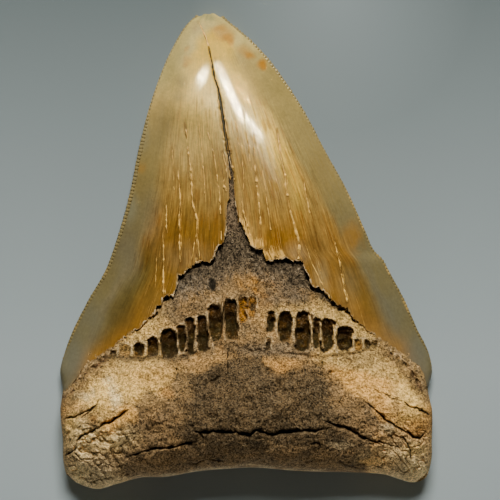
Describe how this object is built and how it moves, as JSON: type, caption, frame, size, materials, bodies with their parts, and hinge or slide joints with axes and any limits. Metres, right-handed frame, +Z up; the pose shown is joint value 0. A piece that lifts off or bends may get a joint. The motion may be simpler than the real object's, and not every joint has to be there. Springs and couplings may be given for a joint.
{
  "type": "fossil shark tooth",
  "caption": "Broad triangular fossil tooth with serrated cutting edges, a jagged enamel border, a row of pits and a thick two-lobed root.",
  "frame": {"origin": "centre of the bounding box in X and Y, on the plane the tooth lies on", "axes": "+X across the tooth from left to right as it is seen with the tip away, +Y from the root to the tip, +Z up, out of the bulging face"},
  "size_m": [0.0935, 0.1189, 0.0267],
  "materials": {
    "tooth": "glossy honey and olive enamel on the crown, rough tan and dark brown root"
  },
  "bodies": {
    "root": {"tooth": "tooth"}
  },
  "joints": []
}
